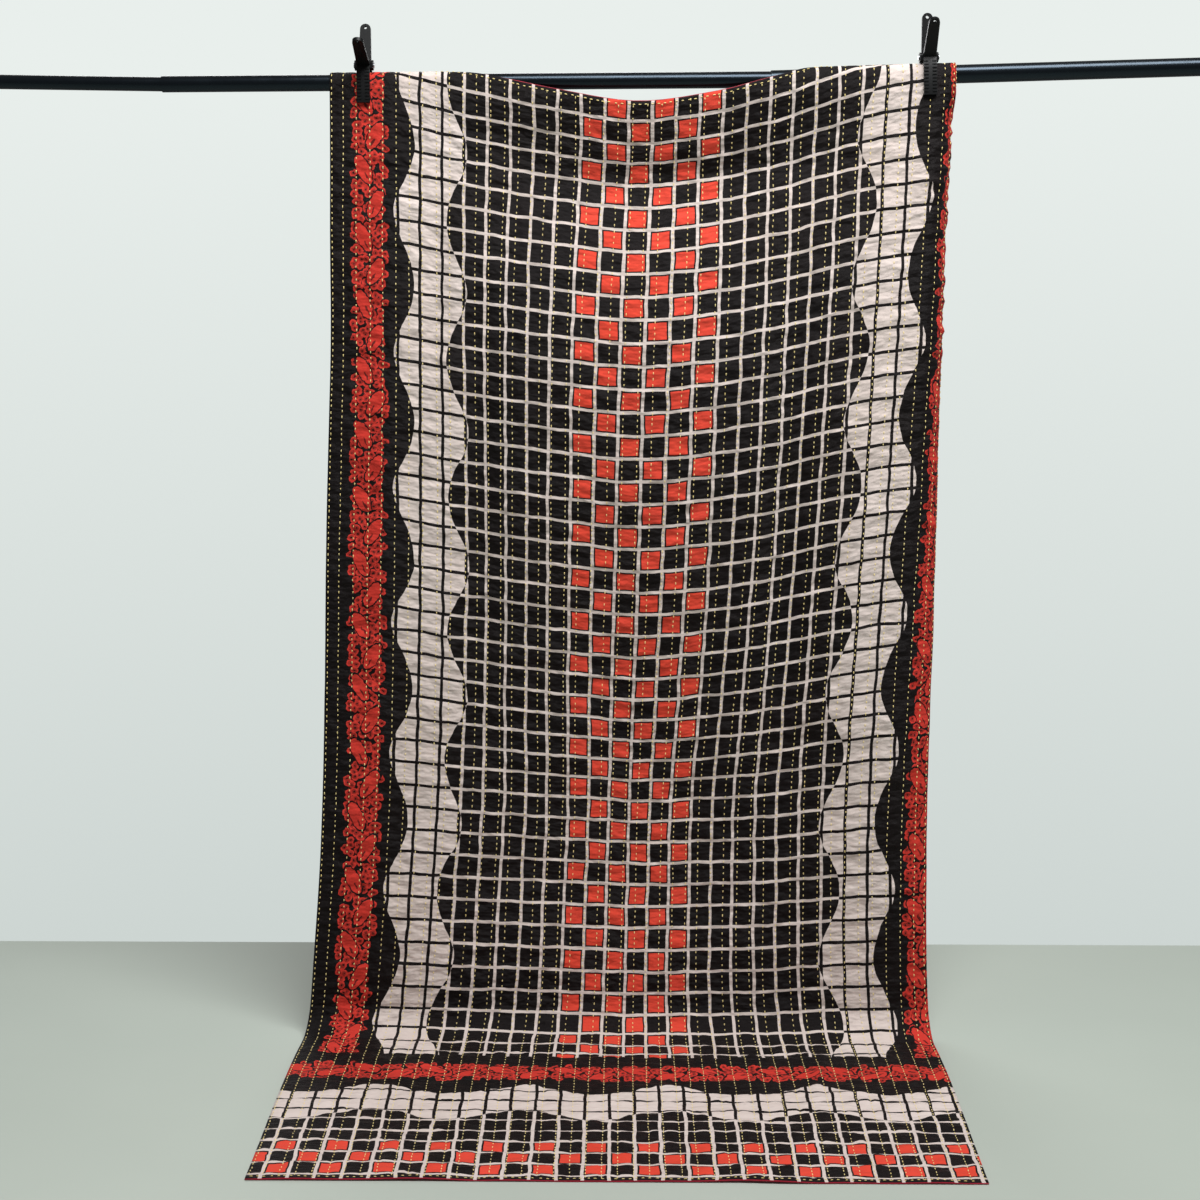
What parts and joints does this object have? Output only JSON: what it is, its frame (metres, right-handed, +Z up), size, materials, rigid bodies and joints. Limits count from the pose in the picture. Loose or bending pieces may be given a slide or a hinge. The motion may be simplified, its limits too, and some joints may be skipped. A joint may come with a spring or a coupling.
{
  "type": "kantha quilt hung on a crossbar",
  "caption": "Stitched cotton quilt with a printed check and wavy borders, clamped over a telescopic crossbar at its top corners, its foot turned forward along the floor.",
  "frame": {"origin": "on the axis of the crossbar's middle tube, above the middle of the quilt", "axes": "+X along the crossbar, +Y behind the quilt, +Z up"},
  "size_m": [2.1806, 0.6898, 1.8781],
  "materials": {
    "printed_cotton": "matt printed cotton",
    "rod_paint": "satin black",
    "clamp_nylon": "moulded black nylon",
    "clamp_steel": "zinc-plated steel"
  },
  "bodies": {
    "root": {"quilt": "printed_cotton", "rod_left": "rod_paint", "rod_middle": "rod_paint", "rod_right": "rod_paint", "clamp_left_front_lever": "clamp_nylon", "clamp_left_back_lever": "clamp_nylon", "clamp_left_pin": "clamp_steel", "clamp_left_spring": "clamp_steel", "clamp_right_front_lever": "clamp_nylon", "clamp_right_back_lever": "clamp_nylon", "clamp_right_pin": "clamp_steel", "clamp_right_spring": "clamp_steel"}
  },
  "joints": []
}
